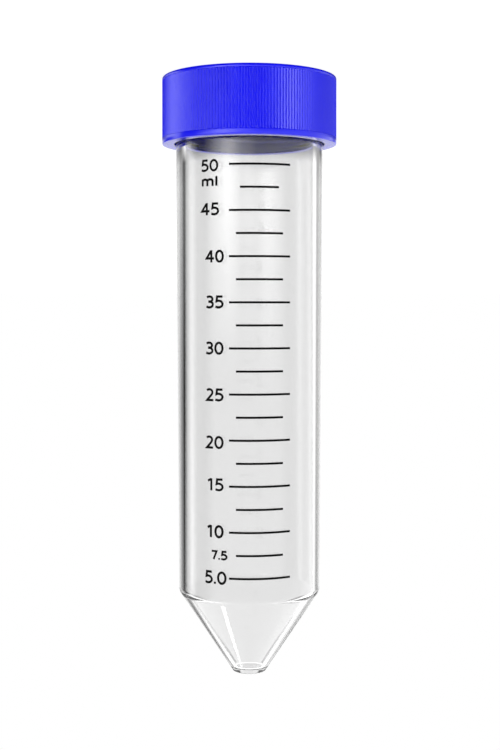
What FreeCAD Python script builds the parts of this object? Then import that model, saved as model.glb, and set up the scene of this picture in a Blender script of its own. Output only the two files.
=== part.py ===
import FreeCAD, Part
import math
import os

# A 50 ml conical tube with its screw cap, standing upside down on the cap's flat face.
# Millimetres. The origin is the middle of that face, z runs up the tube's axis to the tip,
# and the side that carries the printed scale faces -Y.

# Cap: one moulding, a closed cup with fine grip ribs outside and a thread inside.
CAP_SKIRT = 2.4             # wall of the skirt, over the grip ribs
CAP_HEIGHT = 13.13
CAP_FACE = 1.5              # thickness of the closed end
CAP_EDGE_ROUND = 0.35
CAP_RIM_ROUND = 0.2         # both edges of the open rim
CAP_FACE_LIP = 0.7          # plain strip between the closed end and the ribs
CAP_BAND = 1.15             # plain band between the ribs and the open rim
CAP_RIM_PLAIN = 1.8         # plain bore between the cap's thread and its rim
RIB_COUNT = 180
RIB_DEPTH = 0.2

# Liner: a loose seal disc held in the cap by the cap's own thread.
LINER_THICKNESS = 0.9
LINER_HOLD = 0.25           # how far the liner's edge passes under the cap's thread

# Tube: one moulding with a straight bore, a slight draft outside, a cone and a flat tip.
TUBE_LENGTH = 114.15        # from the mouth to the tip
TOP_RADIUS = 14.45          # outside, where the body leaves the cap
DRAFT = 0.65                # how much the radius shrinks from there to the cone
CONE_LENGTH = 16.0
TIP_RADIUS = 3.15           # outside, at the tip's flat face before its edge is rounded
WALL = 1.15                 # at the shoulder and down the cone
FLOOR = 1.2                 # thickness at the tip
SHOULDER_ROUND = 1.2        # inside; outside it is larger by the wall
TIP_ROUND = 0.55
FLOOR_ROUND = 0.9
LIP_ROUND = 0.3
COLLAR_OVERLAP = 0.5        # how far the body's full width runs inside the cap's rim
COLLAR_SLOPE = 0.6          # length of the slope from the neck to that width
NECK_PLAIN = 2.0            # plain neck between the tube's thread and that slope

# Thread: one right-hand start, a ridge on each piece.
THREAD_PITCH = 3.4
THREAD_STAND = 0.15         # how far the tube's ridge stands out past its body
THREAD_HEIGHT = 0.65
THREAD_ROOT_WIDTH = 1.5
THREAD_CREST_WIDTH = 0.8
THREAD_CLEARANCE = 0.15     # between each crest and the wall that it faces
THREAD_SINK = 0.3           # how far a ridge is sunk into its own wall
THREAD_LEAD = 0.9           # plain length at the mouth, before the ridge starts

# Places that follow from the sizes above.
MOUTH_Z = CAP_FACE + LINER_THICKNESS
TIP_Z = MOUTH_Z + TUBE_LENGTH
SHOULDER_Z = TIP_Z - CONE_LENGTH
COLLAR_Z = CAP_HEIGHT - COLLAR_OVERLAP
SHOULDER_RADIUS = TOP_RADIUS - DRAFT
THREAD_RADIUS = TOP_RADIUS + THREAD_STAND
NECK_RADIUS = THREAD_RADIUS - THREAD_HEIGHT
CAP_BORE_RADIUS = THREAD_RADIUS + THREAD_CLEARANCE
CAP_RADIUS = CAP_BORE_RADIUS + CAP_SKIRT
CAP_THREAD_RADIUS = NECK_RADIUS + THREAD_CLEARANCE
LINER_RADIUS = CAP_THREAD_RADIUS + LINER_HOLD
TUBE_THREAD_START = MOUTH_Z + THREAD_LEAD + THREAD_ROOT_WIDTH / 2
TUBE_THREAD_END = COLLAR_Z - COLLAR_SLOPE - NECK_PLAIN - THREAD_ROOT_WIDTH / 2
CAP_THREAD_START = TUBE_THREAD_START + THREAD_PITCH / 2
CAP_THREAD_END = CAP_HEIGHT - CAP_RIM_PLAIN - THREAD_ROOT_WIDTH / 2
AXIS = FreeCAD.Vector(0, 0, 1)
ORIGIN = FreeCAD.Vector(0, 0, 0)


def point(radius, z, angle=0.0):
    """A point at a radius and height, turned about the axis by an angle in radians."""
    return FreeCAD.Vector(radius * math.cos(angle), radius * math.sin(angle), z)


def corner_arc(before, corner, after, rounding):
    """The tangent arc of a given radius that replaces one corner of an outline."""
    to_before = (before - corner).normalize()
    to_after = (after - corner).normalize()
    half_angle = to_before.getAngle(to_after) / 2
    bisector = (to_before + to_after).normalize()
    setback = rounding / math.tan(half_angle)
    middle = corner + bisector * (rounding / math.sin(half_angle) - rounding)
    return corner + to_before * setback, middle, corner + to_after * setback


def turned(corners):
    """A solid of revolution from outline corners, each a radius, a height and a rounding."""
    places = [point(radius, z) for radius, z, _ in corners]
    edges = []
    start = None
    for index, (_, _, rounding) in enumerate(corners):
        before = places[index - 1]
        after = places[(index + 1) % len(corners)]
        entry = leave = places[index]
        if rounding > 0:
            entry, middle, leave = corner_arc(before, places[index], after, rounding)
        if start is not None:
            edges.append(Part.LineSegment(start, entry).toShape())
        if rounding > 0:
            edges.append(Part.Arc(entry, middle, leave).toShape())
        start = leave
    edges.append(Part.LineSegment(start, places[0]).toShape())
    face = Part.Face(Part.Wire(edges))
    return face.revolve(ORIGIN, AXIS, 360)


def thread_ridge(wall_radius, height, start_z, end_z):
    """A helical ridge on a wall; a negative height points it at the axis."""
    sunk_radius = wall_radius - math.copysign(THREAD_SINK, height)
    slope = (THREAD_ROOT_WIDTH - THREAD_CREST_WIDTH) / 2 / abs(height)
    sunk_half = THREAD_ROOT_WIDTH / 2 + slope * THREAD_SINK
    crest_half = THREAD_CREST_WIDTH / 2
    section = Part.makePolygon([
        point(sunk_radius, -sunk_half),
        point(wall_radius + height, -crest_half),
        point(wall_radius + height, crest_half),
        point(sunk_radius, sunk_half),
        point(sunk_radius, -sunk_half),
    ])
    path = Part.makeHelix(THREAD_PITCH, end_z - start_z, wall_radius)
    ridge = Part.Wire(path).makePipeShell([section], True, True)
    ridge.translate(FreeCAD.Vector(0, 0, start_z))
    return ridge


def rib_ring():
    """The ring of rounded grip ribs round the cap."""
    root_radius = CAP_RADIUS - RIB_DEPTH
    step = 2 * math.pi / RIB_COUNT
    arcs = []
    for index in range(RIB_COUNT):
        left = point(root_radius, CAP_FACE_LIP, index * step)
        crest = point(CAP_RADIUS, CAP_FACE_LIP, (index + 0.5) * step)
        right = point(root_radius, CAP_FACE_LIP, (index + 1) * step)
        arcs.append(Part.Arc(left, crest, right).toShape())
    length = CAP_HEIGHT - CAP_BAND - CAP_FACE_LIP
    ribbed = Part.Face(Part.Wire(arcs)).extrude(AXIS * length)
    return ribbed.cut(Part.makeCylinder(CAP_BORE_RADIUS, length, point(0, CAP_FACE_LIP), AXIS))


def make_cap():
    band_z = CAP_HEIGHT - CAP_BAND
    closed_end = turned([
        (0, 0, 0),
        (CAP_RADIUS, 0, CAP_EDGE_ROUND),
        (CAP_RADIUS, CAP_FACE_LIP, 0),
        (CAP_BORE_RADIUS, CAP_FACE_LIP, 0),
        (CAP_BORE_RADIUS, CAP_FACE, 0),
        (0, CAP_FACE, 0),
    ])
    band = turned([
        (CAP_BORE_RADIUS, band_z, 0),
        (CAP_RADIUS, band_z, 0),
        (CAP_RADIUS, CAP_HEIGHT, CAP_RIM_ROUND),
        (CAP_BORE_RADIUS, CAP_HEIGHT, CAP_RIM_ROUND),
    ])
    ridge = thread_ridge(CAP_BORE_RADIUS, CAP_THREAD_RADIUS - CAP_BORE_RADIUS,
                         CAP_THREAD_START, CAP_THREAD_END)
    return closed_end.fuse([rib_ring(), band, ridge])


def make_liner():
    return Part.makeCylinder(LINER_RADIUS, LINER_THICKNESS, point(0, CAP_FACE), AXIS)


def make_tube():
    cone_angle = math.atan2(SHOULDER_RADIUS - TIP_RADIUS, CONE_LENGTH)
    floor_z = TIP_Z - FLOOR
    bore_radius = SHOULDER_RADIUS - WALL
    inner_shoulder_z = SHOULDER_Z - WALL * math.tan(cone_angle / 2)
    floor_radius = bore_radius - (floor_z - inner_shoulder_z) * math.tan(cone_angle)
    body = turned([
        (0, floor_z, 0),
        (floor_radius, floor_z, FLOOR_ROUND),
        (bore_radius, inner_shoulder_z, SHOULDER_ROUND),
        (bore_radius, MOUTH_Z, 0),
        (NECK_RADIUS, MOUTH_Z, LIP_ROUND),
        (NECK_RADIUS, COLLAR_Z - COLLAR_SLOPE, 0),
        (TOP_RADIUS, COLLAR_Z, 0),
        (SHOULDER_RADIUS, SHOULDER_Z, SHOULDER_ROUND + WALL),
        (TIP_RADIUS, TIP_Z, TIP_ROUND),
        (0, TIP_Z, 0),
    ])
    ridge = thread_ridge(NECK_RADIUS, THREAD_HEIGHT, TUBE_THREAD_START, TUBE_THREAD_END)
    return body.fuse(ridge)


def single_solid(name, shape):
    """The one solid of a finished shape, or an error if the shape fell apart."""
    cleaned = shape.removeSplitter()
    if len(cleaned.Solids) != 1 or not cleaned.isValid():
        raise ValueError(f"{name} is not one valid solid")
    return cleaned.Solids[0]


def main():
    os.makedirs("parts", exist_ok=True)
    for name, make in (("cap", make_cap), ("liner", make_liner), ("tube", make_tube)):
        solid = single_solid(name, make())
        solid.exportStep(f"parts/{name}.step")
        print(name, round(solid.Volume, 2), solid.BoundBox)


main()
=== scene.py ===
import math

import bmesh
import bpy
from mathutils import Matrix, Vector


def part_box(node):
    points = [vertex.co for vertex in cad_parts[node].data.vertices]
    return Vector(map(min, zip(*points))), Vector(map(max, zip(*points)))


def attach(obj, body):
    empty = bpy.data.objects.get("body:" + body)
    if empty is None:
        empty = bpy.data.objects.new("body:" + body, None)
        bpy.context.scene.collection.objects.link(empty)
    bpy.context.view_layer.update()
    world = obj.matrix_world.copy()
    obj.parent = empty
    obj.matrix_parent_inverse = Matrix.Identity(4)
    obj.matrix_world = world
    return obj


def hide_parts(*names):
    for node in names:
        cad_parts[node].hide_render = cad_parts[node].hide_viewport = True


# A 50 ml conical tube that stands upside down on its blue screw cap, in metres, +Z up the tube.
# The camera looks along +Y and is rolled half a turn, so the cap is at the top of the picture.

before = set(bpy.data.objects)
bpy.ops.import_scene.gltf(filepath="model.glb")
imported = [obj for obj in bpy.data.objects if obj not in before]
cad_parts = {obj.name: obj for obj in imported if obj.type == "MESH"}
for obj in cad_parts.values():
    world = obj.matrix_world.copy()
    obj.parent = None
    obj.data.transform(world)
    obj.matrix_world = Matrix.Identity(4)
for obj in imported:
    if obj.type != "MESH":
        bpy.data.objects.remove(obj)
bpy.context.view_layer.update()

MM = 0.001
CAP_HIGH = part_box("cap")[1]
LINER_LOW, LINER_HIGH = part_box("liner")
TUBE_LOW, TUBE_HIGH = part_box("tube")

# Sizes are the part's own, from the frame's boxes where these give them. The ribs are a little
# deeper here, and the liner, the lip and the collar have softer edges.

# Cap.
CAP_RADIUS = CAP_HIGH.x
CAP_HEIGHT = CAP_HIGH.z
CAP_FACE = LINER_LOW.z
CAP_SKIRT = 2.4 * MM
CAP_BORE = CAP_RADIUS - CAP_SKIRT
CAP_EDGE_ROUND = 0.35 * MM
CAP_RIM_ROUND = 0.2 * MM
CAP_FACE_LIP = 0.7 * MM       # plain strip before the ribs
CAP_BAND = 1.15 * MM          # plain band after them, at the open rim
CAP_RIM_PLAIN = 1.8 * MM       # between the end of the thread and the rim
RIB_COUNT = 180
RIB_DEPTH = 0.235 * MM
RIB_FLAT = 0.08               # share of a half rib that is crest, and again that is valley
RIB_SOFT = 0.06               # share of a half rib that rounds each end of its flank
RIB_END_ROUND = 0.08 * MM

# Liner.
LINER_EDGE_ROUND = 0.2 * MM

# Tube.
MOUTH_Z = TUBE_LOW.z
TIP_Z = TUBE_HIGH.z
TOP_RADIUS = 14.45 * MM
SHOULDER_RADIUS = 13.8 * MM
WALL = 1.15 * MM
FLOOR = 1.2 * MM
CONE_LENGTH = 16.0 * MM
SHOULDER_Z = TIP_Z - CONE_LENGTH
TIP_RADIUS = 3.15 * MM
SHOULDER_ROUND = 1.2 * MM     # inside; outside it is larger by the wall
TIP_ROUND = 0.55 * MM
FLOOR_ROUND = 0.9 * MM
LIP_ROUND = 0.3 * MM
COLLAR_OVERLAP = 0.5 * MM     # how far the body's full width runs inside the cap
COLLAR_Z = CAP_HEIGHT - COLLAR_OVERLAP
COLLAR_SLOPE = 0.6 * MM
NECK_PLAIN = 2.0 * MM

# Thread.
THREAD_PITCH = 3.4 * MM
THREAD_HEIGHT = 0.65 * MM
THREAD_ROOT_WIDTH = 1.5 * MM
THREAD_CREST_WIDTH = 0.8 * MM
THREAD_LEAD = 0.9 * MM
THREAD_STAND = 0.15 * MM      # how far the tube's ridge stands out past its body
THREAD_RADIUS = TOP_RADIUS + THREAD_STAND
NECK_RADIUS = THREAD_RADIUS - THREAD_HEIGHT
THREAD_FADE = math.radians(14)  # turn over which a ridge rises from nothing at each end
TUBE_THREAD_START = MOUTH_Z + THREAD_LEAD + THREAD_ROOT_WIDTH / 2
TUBE_THREAD_END = COLLAR_Z - COLLAR_SLOPE - NECK_PLAIN - THREAD_ROOT_WIDTH / 2
CAP_THREAD_START = TUBE_THREAD_START + THREAD_PITCH / 2
CAP_THREAD_END = CAP_HEIGHT - CAP_RIM_PLAIN - THREAD_ROOT_WIDTH / 2

# Print: places across are measured round the wall from its middle to the reader's right,
# and places down from the cap's flat face towards the tip.
MARK_COUNT = 19
MARK_FIRST_Z = 18.315 * MM
MARK_STEP = 4.303 * MM
MARK_THICKNESS = 0.41 * MM
MARK_LONG = (-3.85 * MM, 8.08 * MM)
MARK_SHORT = (-2.51 * MM, 6.55 * MM)
MARK_FIRST_SHORT = (-1.76 * MM, 5.69 * MM)
PRINT_RISE = 0.015 * MM
PRINT_SINK = 0.015 * MM
PRINT_COLUMN = 0.35 * MM      # longest straight step of a stroke round the wall
FIGURE_GAP = 0.15             # between figures, in the unit of their widths

# Each label's piece, its figures, its left, right, top and bottom in millimetres and its strokes'
# width as a share of its height. The sides are measured ones and follow no rule.
LABELS = (
    ("label_50", "50", -9.73, -6.05, 17.35, 19.54, 0.195),
    ("label_ml", "ml", -9.61, -6.17, 20.49, 22.31, 0.25),
    ("label_45", "45", -9.87, -5.89, 25.48, 27.77, 0.195),
    ("label_40", "40", -8.76, -4.91, 34.36, 36.64, 0.195),
    ("label_35", "35", -8.65, -4.98, 42.90, 45.22, 0.195),
    ("label_30", "30", -8.71, -4.98, 51.56, 53.87, 0.195),
    ("label_25", "25", -8.72, -4.98, 60.32, 62.63, 0.195),
    ("label_20", "20", -8.73, -4.98, 69.23, 71.54, 0.195),
    ("label_15", "15", -8.31, -4.99, 77.18, 79.47, 0.195),
    ("label_10", "10", -8.39, -4.99, 85.96, 88.27, 0.205),
    ("label_7.5", "7.5", -7.42, -4.23, 90.71, 92.35, 0.24),
    ("label_5.0", "5.0", -8.90, -4.39, 94.61, 96.96, 0.195),
)

# Mesh resolution.
TUBE_COLUMNS = 240
TUBE_ANGLES = [math.radians(360 / TUBE_COLUMNS * column) for column in range(TUBE_COLUMNS)]
CAP_COLUMN_SHARE = 4          # rib columns outside for each column inside
THREAD_ROW = 0.17 * MM
SHARP_EDGE = math.radians(50)
AXIS_RADIUS = 1e-7            # a ring narrower than this is one vertex
TURN_TOLERANCE = 1e-9

# Camera, lamps and stage.
CAMERA_DISTANCE = 0.254
CAMERA_HEIGHT = 0.045
CAMERA_LENS = 61.82
CAMERA_SHIFT = (0.0009, -0.0907)
LAMP_AIM = TIP_Z / 2
FLOOR_RADIUS = 4.0
FLOOR_GREY = 0.4
FLOOR_GLOW = 0.8

# The world. WORLD_FILL lights matt surfaces in the open. GLASS_FILL, low and high, lights those that
# the plastic covers, and changes over between two heights. A direction's height is the sine of its
# elevation, here and below.
WORLD_FILL = 0.75
GLASS_FILL = (0.01, 4.0)
GLASS_FILL_EDGE = (0.75, 0.95)

# The studio that reflections and the clear plastic show: its brightness by azimuth in degrees, 0
# behind the object and positive to the picture's left, in rings one above the other. The levels
# were worked out from the brightness that the cap and the tube have to show.
STUDIO_BRIGHTEST = 6.0
STUDIO_CAP = (
    (-180, 1.9), (-168, 1.0), (-152, 0.95), (-135, 1.2), (-87, 1.2), (-75, 1.1), (-61, 0.9),
    (-50, 0.5), (-40, 0.3), (-32, 0.12), (-12, 0.15), (0, 0.3), (12, 0.15), (34, 0.3), (43, 1.0),
    (54, 1.8), (64, 2.2), (75, 1.75), (84, 0.15), (98, 0.05), (108, 0.25), (118, 0.95), (127, 2.05),
    (135, 3.7), (144, 4.75), (152, 4.6), (160, 3.8), (168, 2.8), (176, 2.15))
STUDIO_RIGHT = (
    (-84, 1.2), (-74, 1.5), (-60, 1.6), (-46, 1.75), (-42, 1.5), (-37, 0.8), (-33, 0.2),
    (-27, 0.35), (-23, 0.85), (-18, 1.1), (-12, 1.08), (-5, 1.0), (10, 1.0))
STUDIO_LOW = (
    (-180, 1.9), (-168, 1.3), *STUDIO_RIGHT, (16, 1.05), (20, 0.95), (24, 0.78), (29, 0.62),
    (34, 0.55), (38, 0.35), (42, 0.12), (58, 0.15), (64, 1.6), (71, 2.1), (76, 1.6), (82, 0.3),
    (105, 0.3), (137, 4.4), (144, 5.0), (152, 4.4), (168, 2.1))
STUDIO_HIGH = (
    (-180, 1.3), *STUDIO_RIGHT, (16, 1.04), (20, 0.9), (24, 0.55), (29, 0.38), (34, 0.3),
    (38, 0.13), (42, 0.0), (50, 0.0), (58, 0.1), (64, 1.5), (71, 2.0), (76, 1.5), (82, 0.3),
    (105, 0.3), (122, 1.3), (180, 1.3))
STUDIO_UPPER = (
    (-180, 1.3), (-70, 1.3), (-60, 3.0), (-34, 3.0), (-29, 0.7), (-20, 0.6), (-18, 0.15),
    (-13, 0.15), (-11, 1.0), (13, 1.0), (17, 0.2), (26, 0.2), (31, 1.1), (180, 1.3))
TOP_LIGHT = 1.6
STUDIO_TOP = ((0, TOP_LIGHT), (180, TOP_LIGHT))

# The heights between which one ring gives way to the next. Below UNDERSIDE the studio is black for
# reflections and at plain level through the plastic.
UNDERSIDE = (-0.27, -0.2)
CAP_TO_LOW = (-0.133, -0.122)
LOW_TO_HIGH = (-0.09, 0.05)
HIGH_TO_UPPER = (0.36, 0.41)
UPPER_TO_TOP = (0.52, 0.65)

# A small round bright spot, whose reflection is the streak down the cone: its direction, and the
# cosines of the angles from its middle at which it starts and is whole.
SPOT_TOWARDS = (0.40, 0.04, 0.916)
SPOT_EDGE = (0.9994, 0.9998)
SPOT_LIGHT = 8.0

# The studio's highest level for what is seen straight through both walls. Such a ray has crossed
# more surfaces than BOTH_WALLS, and has fewer other bounces than NO_REFLECTION, one of which is
# its arrival at the world.
STUDIO_LIMIT = (
    (-180, 0.6), (-172, 1.0), (-148, 1.0), (-140, 0.5), (-128, 0.5), (-120, 1.0), (-92, 1.0),
    (-80, 6.0), (84, 6.0), (92, 1.0), (165, 1.0), (172, 0.5), (180, 0.6))
BOTH_WALLS = 2.5
NO_REFLECTION = 1.5


# ---------------------------------------------------------------- outlines and lathe meshes

def rounded(corners, steps=6):
    """Outline points from corners of radius, height and rounding, with arcs at the rounded ones."""
    points = []
    for index, (radius, z, rounding) in enumerate(corners):
        corner = Vector((radius, z))
        if rounding == 0:
            points.append(corner)
            continue
        before = (Vector(corners[index - 1][:2]) - corner).normalized()
        after = (Vector(corners[index + 1][:2]) - corner).normalized()
        half = before.angle(after) / 2
        centre = corner + (before + after).normalized() * (rounding / math.sin(half))
        start = corner + before * (rounding / math.tan(half)) - centre
        end = corner + after * (rounding / math.tan(half)) - centre
        points += [centre + rounding * start.slerp(end, step / steps) for step in range(steps + 1)]
    return points


def filled_rows(points, longest):
    """The same outline with points added so that no straight step is longer than a given length."""
    rows = [points[0]]
    for point in points[1:]:
        count = max(1, math.ceil((point - rows[-1]).length / longest))
        start = rows[-1]
        rows += [start.lerp(point, (step + 1) / count) for step in range(count)]
    return rows


def ridge_at(angle, z, start, end):
    """Share of the full ridge height, 0 to 1, on a helical ridge at one angle and height."""
    slope = (THREAD_ROOT_WIDTH - THREAD_CREST_WIDTH) / 2
    whole = 2 * math.pi
    last = (end - start) / THREAD_PITCH * whole
    best = 0.0
    turns = math.ceil(last / whole) + 1
    for turn in range(-1, turns):
        run = angle + turn * whole
        inside = min(run, last - run)
        if inside < -TURN_TOLERANCE:
            continue
        fade = min(1.0, max(0.0, inside / THREAD_FADE))
        middle = start + THREAD_PITCH * run / whole
        side = (THREAD_ROOT_WIDTH / 2 - abs(z - middle)) / slope
        best = max(best, min(1.0, max(0.0, side)) * math.sin(fade * math.pi / 2))
    return best


def placed(radius, z, angle):
    """Coordinates of a point at a radius and height, turned about the axis by an angle."""
    return (radius * math.cos(angle), radius * math.sin(angle), z)


def ring(bm, radius, z, angles, offset=None):
    """One ring of vertices, or a single one on the axis; offset(angle, z) adds to the radius."""
    if radius < AXIS_RADIUS:
        return [bm.verts.new((0.0, 0.0, z))]
    verts = []
    for angle in angles:
        extra = offset(angle, z) if offset else 0.0
        verts.append(bm.verts.new(placed(radius + extra, z, angle)))
    return verts


def join_rings(bm, low, high):
    """Faces between two rings, of which one may be a point or have a whole multiple of columns."""
    if len(low) == 1 or len(high) == 1:
        pole, rim = (low, high) if len(low) == 1 else (high, low)
        for column, vert in enumerate(rim):
            after = rim[(column + 1) % len(rim)]
            bm.faces.new([pole[0], vert, after] if pole is low else [pole[0], after, vert])
        return
    fine, coarse = (low, high) if len(low) >= len(high) else (high, low)
    share = len(fine) // len(coarse)
    for column, vert in enumerate(coarse):
        edge = [fine[(column * share + step) % len(fine)] for step in range(share + 1)]
        after = coarse[(column + 1) % len(coarse)]
        face = [*edge, after, vert]
        bm.faces.new(face if fine is low else face[::-1])


def finished(bm, name, material, sharp=None):
    """A smooth-shaded object from a bmesh, with normals weighted by face area."""
    bmesh.ops.recalc_face_normals(bm, faces=bm.faces)
    mesh = bpy.data.meshes.new(name)
    bm.to_mesh(mesh)
    bm.free()
    mesh.shade_smooth()
    if sharp is not None:
        mesh.set_sharp_from_angle(angle=sharp)
    piece = bpy.data.objects.new(name, mesh)
    bpy.context.scene.collection.objects.link(piece)
    piece.data.materials.append(material)
    weighted = piece.modifiers.new("weighted_normals", "WEIGHTED_NORMAL")
    weighted.keep_sharp = True
    weighted.weight = 100
    return piece


# ---------------------------------------------------------------- pieces

def rib_angles():
    """Angles at the corners of every rib: crest, rounded corners, straight flanks and valley."""
    half = [RIB_FLAT, RIB_FLAT + RIB_SOFT, 1 - RIB_FLAT - RIB_SOFT, 1 - RIB_FLAT]
    shares = [-share for share in half[::-1]] + half
    return [(rib + 0.5 + share / 2) * 2 * math.pi / RIB_COUNT
            for rib in range(RIB_COUNT) for share in shares]


def rib_offset(angle, _z):
    """How far a rib's surface lies inside its crest's radius."""
    share = abs(angle * RIB_COUNT / (2 * math.pi) % 1.0 - 0.5) * 2
    return -RIB_DEPTH * min(1.0, max(0.0, (share - RIB_FLAT) / (1 - 2 * RIB_FLAT)))


def make_cap(material):
    """The cap as one skin: flat face, ribs, band and rim outside, then the threaded bore."""
    ribs_top = CAP_HEIGHT - CAP_BAND
    fine = rib_angles()
    coarse = fine[::CAP_COLUMN_SHARE]
    bm = bmesh.new()
    lower = rounded([(CAP_RADIUS - 2 * CAP_EDGE_ROUND, 0, 0), (CAP_RADIUS, 0, CAP_EDGE_ROUND),
                     (CAP_RADIUS, CAP_FACE_LIP, RIB_END_ROUND),
                     (CAP_RADIUS - RIB_DEPTH, CAP_FACE_LIP, 0)])[:-1]
    upper = rounded([(CAP_RADIUS - RIB_DEPTH, ribs_top, 0), (CAP_RADIUS, ribs_top, RIB_END_ROUND),
                     (CAP_RADIUS, CAP_HEIGHT, CAP_RIM_ROUND),
                     (CAP_RADIUS - CAP_SKIRT / 2, CAP_HEIGHT, 0)])[1:]
    rings = [ring(bm, 0, 0, coarse), ring(bm, CAP_RADIUS - 4 * CAP_EDGE_ROUND, 0, coarse)]
    rings += [ring(bm, point.x, point.y, fine) for point in lower]
    rings += [ring(bm, CAP_RADIUS, z, fine, rib_offset) for z in (CAP_FACE_LIP, ribs_top)]
    rings += [ring(bm, point.x, point.y, fine) for point in upper]
    inside = rounded([(CAP_RADIUS - CAP_SKIRT * 0.6, CAP_HEIGHT, 0), (CAP_BORE, CAP_HEIGHT, CAP_RIM_ROUND),
                      (CAP_BORE, CAP_THREAD_END + THREAD_ROOT_WIDTH, 0)])
    thread_low = CAP_THREAD_START - THREAD_ROOT_WIDTH
    inside += filled_rows([inside[-1], Vector((CAP_BORE, thread_low))], THREAD_ROW)[1:]
    inside += rounded([(CAP_BORE, thread_low, 0), (CAP_BORE, CAP_FACE, CAP_RIM_ROUND),
                       (CAP_BORE - 4 * CAP_RIM_ROUND, CAP_FACE, 0), (0, CAP_FACE, 0)])[1:]

    def cap_thread(angle, z):
        return -THREAD_HEIGHT * ridge_at(angle, z, CAP_THREAD_START, CAP_THREAD_END)

    rings += [ring(bm, point.x, point.y, coarse, cap_thread) for point in inside]
    for low, high in zip(rings, rings[1:]):
        join_rings(bm, low, high)
    piece = finished(bm, "screw_cap", material, sharp=SHARP_EDGE)
    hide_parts("cap")
    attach(piece, "cap")


def make_seal(material):
    """The seal disc, with soft edges."""
    radius = LINER_HIGH.x
    corners = [(0, LINER_LOW.z, 0), (radius, LINER_LOW.z, LINER_EDGE_ROUND),
               (radius, LINER_HIGH.z, LINER_EDGE_ROUND), (0, LINER_HIGH.z, 0)]
    bm = bmesh.new()
    rings = [ring(bm, point.x, point.y, TUBE_ANGLES) for point in rounded(corners)]
    for below, above in zip(rings, rings[1:]):
        join_rings(bm, below, above)
    piece = finished(bm, "seal_disc", material, sharp=SHARP_EDGE)
    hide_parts("liner")
    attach(piece, "seal")


def tube_outline():
    """The tube's section from the inside of its tip, out of the mouth and back to the tip."""
    cone = math.atan2(SHOULDER_RADIUS - TIP_RADIUS, CONE_LENGTH)
    floor_z = TIP_Z - FLOOR
    bore = SHOULDER_RADIUS - WALL
    inner_shoulder_z = SHOULDER_Z - WALL * math.tan(cone / 2)
    floor_radius = bore - (floor_z - inner_shoulder_z) * math.tan(cone)
    thread_top = TUBE_THREAD_END + THREAD_ROOT_WIDTH
    below = rounded([(0, floor_z, 0), (floor_radius, floor_z, FLOOR_ROUND),
                     (bore, inner_shoulder_z, SHOULDER_ROUND), (bore, MOUTH_Z, LIP_ROUND / 3),
                     (NECK_RADIUS, MOUTH_Z, LIP_ROUND), (NECK_RADIUS, thread_top, 0)])
    above = rounded([(NECK_RADIUS, thread_top, 0), (NECK_RADIUS, COLLAR_Z - COLLAR_SLOPE, LIP_ROUND),
                     (TOP_RADIUS, COLLAR_Z, LIP_ROUND),
                     (SHOULDER_RADIUS, SHOULDER_Z, SHOULDER_ROUND + WALL),
                     (TIP_RADIUS, TIP_Z, TIP_ROUND), (0, TIP_Z, 0)])
    neck = filled_rows(below[-2:], THREAD_ROW)[1:]
    return below[:-1] + neck + above[1:]


def make_tube(material):
    """The tube as one closed skin, with the thread outside its mouth."""
    bm = bmesh.new()

    def tube_thread(angle, z):
        return THREAD_HEIGHT * ridge_at(angle, z, TUBE_THREAD_START, TUBE_THREAD_END)

    rings = []
    outside = False
    for point in tube_outline():
        outside = outside or point.x > NECK_RADIUS - 2 * LIP_ROUND and point.y < TUBE_THREAD_START
        rings.append(ring(bm, point.x, point.y, TUBE_ANGLES, tube_thread if outside else None))
    for low, high in zip(rings, rings[1:]):
        join_rings(bm, low, high)
    piece = finished(bm, "clear_tube", material)
    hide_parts("tube")
    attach(piece, "tube")


# ---------------------------------------------------------------- print on the wall

def wall_radius(z):
    """The body's outside radius at a height between the collar and the shoulder."""
    share = (z - COLLAR_Z) / (SHOULDER_Z - COLLAR_Z)
    return TOP_RADIUS + share * (SHOULDER_RADIUS - TOP_RADIUS)


def wrapped(across, down, out):
    """A point of the print on the tube: across to the reader's right, down away from the cap."""
    radius = wall_radius(down)
    return placed(radius + out, down, -math.pi / 2 - across / radius)


def stroke(bm, path, width, closed=False):
    """A pen stroke of ink along a path on the wall: a thin closed strip, mitred at its corners."""
    path = [Vector(point) for point in path]
    if closed:
        path.append(path[0])
    path = filled_rows(path, PRINT_COLUMN)
    if closed:
        path.pop()
    loops = []
    for index, point in enumerate(path):
        before = path[index - 1] if closed or index else None
        after = path[(index + 1) % len(path)] if closed or index + 1 < len(path) else None
        sides = [(end - start).normalized().orthogonal()
                 for start, end in ((before, point), (point, after))
                 if start is not None and end is not None]
        side = sum(sides, Vector((0, 0))).normalized()
        side *= width / 2 / side.dot(sides[0])
        corners = ((side, -PRINT_SINK), (side, PRINT_RISE), (-side, PRINT_RISE), (-side, -PRINT_SINK))
        loops.append([bm.verts.new(wrapped(*(point + step), out)) for step, out in corners])
    following = loops[1:] + (loops[:1] if closed else [])
    for loop, after in zip(loops, following):
        for side in range(4):
            bm.faces.new([loop[side], loop[side - 1], after[side - 1], after[side]])
    if not closed:
        bm.faces.new(loops[0])
        bm.faces.new(loops[-1][::-1])


def printed(bm, name, material):
    """A finished piece of the print, which rides on the tube."""
    piece = finished(bm, name, material, sharp=SHARP_EDGE)
    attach(piece, "tube")


def make_marks(material):
    """The lines of the scale as one thin piece."""
    bm = bmesh.new()
    for index in range(MARK_COUNT):
        left, right = (MARK_LONG, MARK_SHORT)[index % 2] if index != 1 else MARK_FIRST_SHORT
        down = MARK_FIRST_Z + index * MARK_STEP
        stroke(bm, [(left, down), (right, down)], MARK_THICKNESS)
    printed(bm, "scale_marks", material)


def arc(x, y, wide, tall, start, end, steps=16):
    """Points of an elliptical arc from one angle in degrees to another."""
    angles = [math.radians(start + (end - start) * step / steps) for step in range(steps + 1)]
    return [(x + wide * math.cos(angle), y + tall * math.sin(angle)) for angle in angles]


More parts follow.
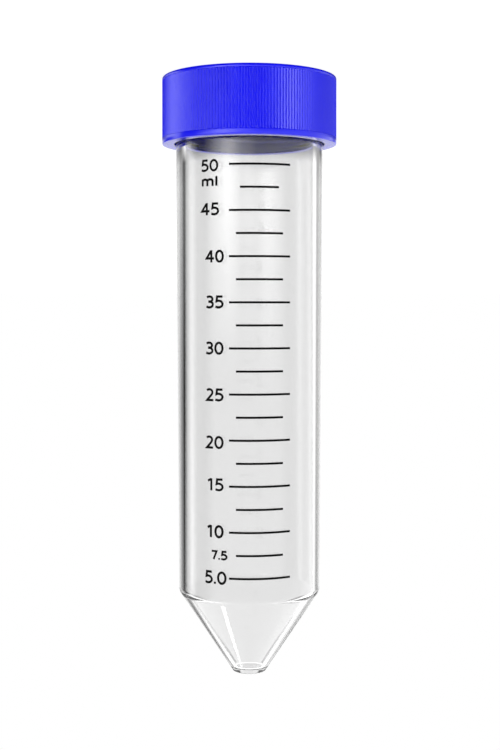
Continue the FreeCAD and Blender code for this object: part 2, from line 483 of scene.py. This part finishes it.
# Middle lines of the strokes of each figure, 1 unit tall, with the figure's width.
FIGURES = {
    "0": (0.77, [arc(0.385, 0.5, 0.32, 0.44, 0, 360, 40)[:-1]]),
    "1": (0.42, [[(0.35, 0.0), (0.35, 1.0)], [(0.03, 0.79), (0.34, 0.95)]]),
    "2": (0.70, [arc(0.33, 0.70, 0.28, 0.24, 142, -22) + [(0.50, 0.47), (0.12, 0.0625), (0.70, 0.0625)]]),
    "3": (0.70, [[(0.07, 0.89)] + arc(0.32, 0.73, 0.28, 0.21, 110, -62) + [(0.22, 0.53)],
                 [(0.22, 0.53)] + arc(0.31, 0.295, 0.33, 0.235, 62, -112) + [(0.03, 0.12)]]),
    "4": (0.86, [[(0.60, 0.0), (0.60, 1.0)], [(0.57, 0.94), (0.11, 0.33), (0.86, 0.33)]]),
    "5": (0.70, [[(0.64, 0.9375), (0.17, 0.9375), (0.12, 0.56)] + arc(0.29, 0.33, 0.35, 0.27, 102, -116)
                 + [(0.02, 0.12)]]),
    "7": (0.70, [[(0.0, 0.9375), (0.62, 0.9375), (0.24, 0.0)]]),
    ".": (0.16, [[(0.08, 0.0), (0.08, 0.17)]]),
    "m": (1.05, [[(0.07, 0.0), (0.07, 0.73)],
                 [(0.07, 0.55)] + arc(0.29, 0.50, 0.21, 0.19, 150, 0) + [(0.50, 0.0)],
                 [(0.50, 0.52)] + arc(0.74, 0.50, 0.22, 0.19, 150, 0) + [(0.96, 0.0)]]),
    "l": (0.16, [[(0.08, 0.0), (0.08, 1.0)]]),
}


def make_label(name, text, left, right, top, bottom, weight, material):
    """One group of figures, fitted between its four sides on the wall. A 1 has a double gap after it."""
    total = sum(FIGURES[letter][0] for letter in text) + FIGURE_GAP * (len(text) - 1)
    if "1" in text:
        total += FIGURE_GAP
    wide, tall = (right - left) / total, bottom - top
    bm = bmesh.new()
    start = 0.0
    for letter in text:
        width, strokes = FIGURES[letter]
        for path in strokes:
            path = [(left + (start + x) * wide, bottom - y * tall) for x, y in path]
            stroke(bm, path, tall * weight, closed=letter == "0")
        start += width + FIGURE_GAP * (2 if letter == "1" else 1)
    printed(bm, name, material)


# ---------------------------------------------------------------- materials

def new_material(name):
    """A node material whose only nodes are a Principled shader and its output: the material, its node
    tree, its shader and its output.
    """
    material = bpy.data.materials.new(name)
    material.use_nodes = True
    tree = material.node_tree
    tree.nodes.clear()
    output = tree.nodes.new("ShaderNodeOutputMaterial")
    shader = tree.nodes.new("ShaderNodeBsdfPrincipled")
    tree.links.new(shader.outputs[0], output.inputs[0])
    return material, tree, shader, output


def coordinates(tree, scale=(1, 1, 1)):
    """Object coordinates in millimetres, stretched by a scale."""
    coords = tree.nodes.new("ShaderNodeTexCoord")
    mapping = tree.nodes.new("ShaderNodeMapping")
    mapping.inputs["Scale"].default_value = [1000 * value for value in scale]
    tree.links.new(coords.outputs["Object"], mapping.inputs["Vector"])
    return mapping.outputs["Vector"]


def noise(tree, vector, scale, detail=3.0, roughness=0.5):
    """A noise value, with its scale in waves per unit of the coordinates given."""
    node = tree.nodes.new("ShaderNodeTexNoise")
    node.inputs["Scale"].default_value = scale
    node.inputs["Detail"].default_value = detail
    node.inputs["Roughness"].default_value = roughness
    tree.links.new(vector, node.inputs["Vector"])
    return node.outputs["Fac"]


def remap(tree, value, low, high, to_low, to_high):
    """A value carried from one range to another and held at the second range's ends."""
    node = tree.nodes.new("ShaderNodeMapRange")
    tree.links.new(value, node.inputs["Value"])
    for socket, number in (("From Min", low), ("From Max", high), ("To Min", to_low), ("To Max", to_high)):
        node.inputs[socket].default_value = number
    return node.outputs["Result"]


def ramp(tree, value, *stops):
    """A colour by value, from stops of position and colour."""
    node = tree.nodes.new("ShaderNodeValToRGB")
    elements = node.color_ramp.elements
    while len(elements) < len(stops):
        elements.new(0.5)
    for element, (position, colour) in zip(elements, stops):
        element.position = position
        element.color = (*colour, 1.0)
    tree.links.new(value, node.inputs["Fac"])
    return node.outputs["Color"]


def bump(tree, shader, *layers):
    """Bump layers of height value, strength and depth in millimetres, one on top of the other."""
    normal = None
    for height, strength, depth in layers:
        node = tree.nodes.new("ShaderNodeBump")
        node.inputs["Strength"].default_value = strength
        node.inputs["Distance"].default_value = depth * MM
        tree.links.new(height, node.inputs["Height"])
        if normal is not None:
            tree.links.new(normal, node.inputs["Normal"])
        normal = node.outputs["Normal"]
    tree.links.new(normal, shader.inputs["Normal"])


def cap_plastic():
    """Blue moulded polyethylene: an even colour with faint flow, a fine grain and handling marks."""
    material, tree, shader, _ = new_material("cap_plastic")
    flow = noise(tree, coordinates(tree, (1, 1, 0.3)), 0.22, 4.0)
    grain = noise(tree, coordinates(tree), 9.0, 2.0)
    scuffs = noise(tree, coordinates(tree, (1, 1, 3)), 1.1, 6.0, 0.7)
    colour = ramp(tree, flow, (0.3, (0.004, 0.005, 0.86)), (0.7, (0.007, 0.008, 0.93)))
    tree.links.new(colour, shader.inputs["Base Color"])
    tree.links.new(remap(tree, scuffs, 0.35, 0.75, 0.12, 0.20), shader.inputs["Roughness"])
    shader.inputs["IOR"].default_value = 1.5
    bump(tree, shader, (grain, 0.04, 0.004), (scuffs, 0.05, 0.008))
    return material


def tube_plastic():
    """Clear moulded plastic, a little grey in its thickness, with faint drawn lines and haze."""
    material, tree, shader, output = new_material("tube_plastic")
    lines = noise(tree, coordinates(tree, (1, 1, 0.02)), 0.5, 3.0)
    ripple = noise(tree, coordinates(tree, (1, 1, 0.25)), 0.12, 2.0)
    haze = noise(tree, coordinates(tree), 0.6, 5.0, 0.6)
    shader.inputs["Base Color"].default_value = (0.87, 0.87, 0.87, 1.0)
    shader.inputs["Transmission Weight"].default_value = 1.0
    shader.inputs["IOR"].default_value = 1.5
    tree.links.new(remap(tree, haze, 0.35, 0.7, 0.0, 0.02), shader.inputs["Roughness"])
    bump(tree, shader, (lines, 0.12, 0.01), (ripple, 0.15, 0.03))
    absorption = tree.nodes.new("ShaderNodeVolumeAbsorption")
    absorption.inputs["Color"].default_value = (0.5, 0.5, 0.5, 1.0)
    absorption.inputs["Density"].default_value = 20.0
    tree.links.new(absorption.outputs[0], output.inputs["Volume"])
    return material


def seal_foam():
    """White closed-cell foam of the seal disc, with small cells."""
    material, tree, shader, _ = new_material("seal_foam")
    cells = noise(tree, coordinates(tree), 3.5, 4.0, 0.6)
    tree.links.new(ramp(tree, cells, (0.3, (0.68, 0.68, 0.67)), (0.7, (0.80, 0.80, 0.79))),
                   shader.inputs["Base Color"])
    tree.links.new(remap(tree, cells, 0.3, 0.7, 0.45, 0.65), shader.inputs["Roughness"])
    bump(tree, shader, (cells, 0.25, 0.04))
    return material


def print_ink():
    """Black screen ink, slightly uneven."""
    material, tree, shader, _ = new_material("print_ink")
    mottle = noise(tree, coordinates(tree), 3.0, 4.0, 0.6)
    tree.links.new(ramp(tree, mottle, (0.3, (0.002, 0.002, 0.002)), (0.75, (0.007, 0.007, 0.007))),
                   shader.inputs["Base Color"])
    tree.links.new(remap(tree, mottle, 0.3, 0.7, 0.45, 0.65), shader.inputs["Roughness"])
    shader.inputs["Specular IOR Level"].default_value = 0.05
    bump(tree, shader, (mottle, 0.2, 0.01))
    return material


# ---------------------------------------------------------------- stage, light and camera

def make_floor():
    """A wide pale floor: matt grey, with its own light for the camera, so that it looks white.
    Reflections, and views through the plastic, see the world in its place."""
    bm = bmesh.new()
    bmesh.ops.create_circle(bm, cap_ends=True, segments=96, radius=FLOOR_RADIUS)
    mesh = bpy.data.meshes.new("floor")
    bm.to_mesh(mesh)
    bm.free()
    floor = bpy.data.objects.new("floor", mesh)
    bpy.context.scene.collection.objects.link(floor)
    material = bpy.data.materials.new("floor_white")
    material.use_nodes = True
    tree = material.node_tree
    tree.nodes.clear()
    output = tree.nodes.new("ShaderNodeOutputMaterial")
    matt = tree.nodes.new("ShaderNodeBsdfDiffuse")
    matt.inputs["Color"].default_value = (FLOOR_GREY, FLOOR_GREY, FLOOR_GREY, 1.0)
    glow = tree.nodes.new("ShaderNodeEmission")
    path = tree.nodes.new("ShaderNodeLightPath")
    shown = math_node(tree, "MULTIPLY", path.outputs["Is Camera Ray"], FLOOR_GLOW)
    tree.links.new(shown, glow.inputs["Strength"])
    both = tree.nodes.new("ShaderNodeAddShader")
    tree.links.new(matt.outputs[0], both.inputs[0])
    tree.links.new(glow.outputs[0], both.inputs[1])
    tree.links.new(both.outputs[0], output.inputs["Surface"])
    mesh.materials.append(material)
    floor.visible_glossy = False
    floor.visible_transmission = False
    floor.visible_shadow = False


def studio_ring(tree, place, stops):
    """The studio's brightness all round at one height, from stops of azimuth in degrees and level."""
    shares = [(0.5 + degrees / 360, (level / STUDIO_BRIGHTEST,) * 3) for degrees, level in stops]
    return math_node(tree, "MULTIPLY", STUDIO_BRIGHTEST, ramp(tree, place, *shares))


def mixed(tree, share, low, high):
    """low where share is 0 and high where it is 1."""
    rest = math_node(tree, "SUBTRACT", 1.0, share)
    low_part = math_node(tree, "MULTIPLY", rest, low)
    high_part = math_node(tree, "MULTIPLY", share, high)
    return math_node(tree, "ADD", low_part, high_part)


def math_node(tree, operation, *values):
    """The result of one math node, whose inputs are numbers or other nodes' results."""
    node = tree.nodes.new("ShaderNodeMath")
    node.operation = operation
    for socket, value in zip(node.inputs, values):
        if isinstance(value, (int, float)):
            socket.default_value = value
        else:
            tree.links.new(value, socket)
    return node.outputs[0]


def make_world():
    """White for the camera and a plain fill for matt surfaces, dimmer at the sides and brighter from
    above where the plastic covers them. Reflections, and views through the plastic, see the studio:
    five rings one above the other, from the cap's up to the top light, and a small bright spot. What
    is seen straight through both walls meets a limit, so that the studio's bright parts don't hide
    the tube from other sides."""
    world = bpy.data.worlds.new("studio")
    world.use_nodes = True
    tree = world.node_tree
    tree.nodes.clear()
    output = tree.nodes.new("ShaderNodeOutputWorld")
    background = tree.nodes.new("ShaderNodeBackground")
    background.inputs["Color"].default_value = (1.0, 1.0, 1.0, 1.0)
    path = tree.nodes.new("ShaderNodeLightPath")
    coords = tree.nodes.new("ShaderNodeTexCoord")
    parts = tree.nodes.new("ShaderNodeSeparateXYZ")
    tree.links.new(coords.outputs["Generated"], parts.inputs[0])
    azimuth = math_node(tree, "ARCTAN2", parts.outputs["X"], parts.outputs["Y"])
    place = remap(tree, azimuth, -math.pi, math.pi, 0.0, 1.0)
    raised = parts.outputs["Z"]
    studio = studio_ring(tree, place, STUDIO_CAP)
    for edge, stops in ((CAP_TO_LOW, STUDIO_LOW), (LOW_TO_HIGH, STUDIO_HIGH),
                        (HIGH_TO_UPPER, STUDIO_UPPER), (UPPER_TO_TOP, STUDIO_TOP)):
        above = remap(tree, raised, *edge, 0.0, 1.0)
        studio = mixed(tree, above, studio, studio_ring(tree, place, stops))
    above = remap(tree, raised, *UNDERSIDE, 0.0, 1.0)
    studio = mixed(tree, above, path.outputs["Is Transmission Ray"], studio)
    aim = tree.nodes.new("ShaderNodeVectorMath")
    aim.operation = "DOT_PRODUCT"
    aim.inputs[1].default_value = Vector(SPOT_TOWARDS).normalized()
    tree.links.new(coords.outputs["Generated"], aim.inputs[0])
    spot = remap(tree, aim.outputs["Value"], *SPOT_EDGE, 0.0, SPOT_LIGHT)
    studio = math_node(tree, "ADD", studio, spot)
    crossings = path.outputs["Transmission Depth"]
    reflections = math_node(tree, "SUBTRACT", path.outputs["Ray Depth"], crossings)
    across = math_node(tree, "GREATER_THAN", crossings, BOTH_WALLS)
    straight = math_node(tree, "LESS_THAN", reflections, NO_REFLECTION)
    across = math_node(tree, "MULTIPLY", across, straight)
    limited = math_node(tree, "MINIMUM", studio, studio_ring(tree, place, STUDIO_LIMIT))
    studio = mixed(tree, across, studio, limited)
    indirect = math_node(tree, "MAXIMUM", path.outputs["Is Glossy Ray"],
                         path.outputs["Is Transmission Ray"])
    diffused = math_node(tree, "GREATER_THAN", path.outputs["Diffuse Depth"], 0.5)
    covered = remap(tree, raised, *GLASS_FILL_EDGE, *GLASS_FILL)
    seen = math_node(tree, "MULTIPLY", indirect, mixed(tree, diffused, studio, covered))
    fill = math_node(tree, "MULTIPLY", path.outputs["Is Diffuse Ray"], WORLD_FILL)
    matt = math_node(tree, "ADD", path.outputs["Is Camera Ray"], fill)
    tree.links.new(math_node(tree, "ADD", seen, matt), background.inputs["Strength"])
    tree.links.new(background.outputs[0], output.inputs[0])
    bpy.context.scene.world = world
    bpy.context.scene.view_settings.view_transform = "Standard"


def softbox(name, azimuth, height, distance, width, tall, radiance):
    """A rectangular lamp aimed at the object; azimuth 0 is behind the camera, positive to image right.
    Reflections see the studio in the world, so a lamp lights matt surfaces only. It may stand below
    the floor, which casts no shadow."""
    lamp = bpy.data.lights.new(name, "AREA")
    lamp.shape = "RECTANGLE"
    lamp.size = width
    lamp.size_y = tall
    lamp.energy = radiance * width * tall * math.pi
    thing = bpy.data.objects.new(name, lamp)
    angle = math.radians(azimuth)
    place = Vector((-distance * math.sin(angle), -distance * math.cos(angle), height))
    thing.location = place
    thing.rotation_euler = (place - Vector((0, 0, LAMP_AIM))).to_track_quat("Z", "Y").to_euler()
    thing.visible_camera = False
    thing.visible_glossy = False
    thing.visible_transmission = False
    bpy.context.scene.collection.objects.link(thing)


def make_camera():
    """A camera in front of the scale, rolled half a turn, its lens shifted to frame the object."""
    lens = bpy.data.cameras.new("camera")
    lens.sensor_width = 36.0
    lens.lens = CAMERA_LENS
    lens.shift_x, lens.shift_y = CAMERA_SHIFT
    lens.clip_start = 0.01
    camera = bpy.data.objects.new("camera", lens)
    camera.location = (0, -CAMERA_DISTANCE, CAMERA_HEIGHT)
    camera.rotation_euler = (math.radians(-90), 0, math.radians(180))
    bpy.context.scene.collection.objects.link(camera)
    bpy.context.scene.camera = camera


blue = cap_plastic()
clear = tube_plastic()
foam = seal_foam()
ink = print_ink()
make_cap(blue)
make_seal(foam)
make_tube(clear)
make_marks(ink)
for name, text, left, right, top, bottom, weight in LABELS:
    make_label(name, text, left * MM, right * MM, top * MM, bottom * MM, weight, ink)
make_floor()
make_world()
softbox("softbox_left", azimuth=-34, height=-0.12, distance=0.55, width=0.22, tall=0.36, radiance=5.0)
softbox("softbox_right", azimuth=48, height=-0.05, distance=0.60, width=0.75, tall=0.50, radiance=1.4)
softbox("softbox_above", azimuth=180, height=0.65, distance=0.30, width=0.60, tall=0.60, radiance=1.2)
make_camera()
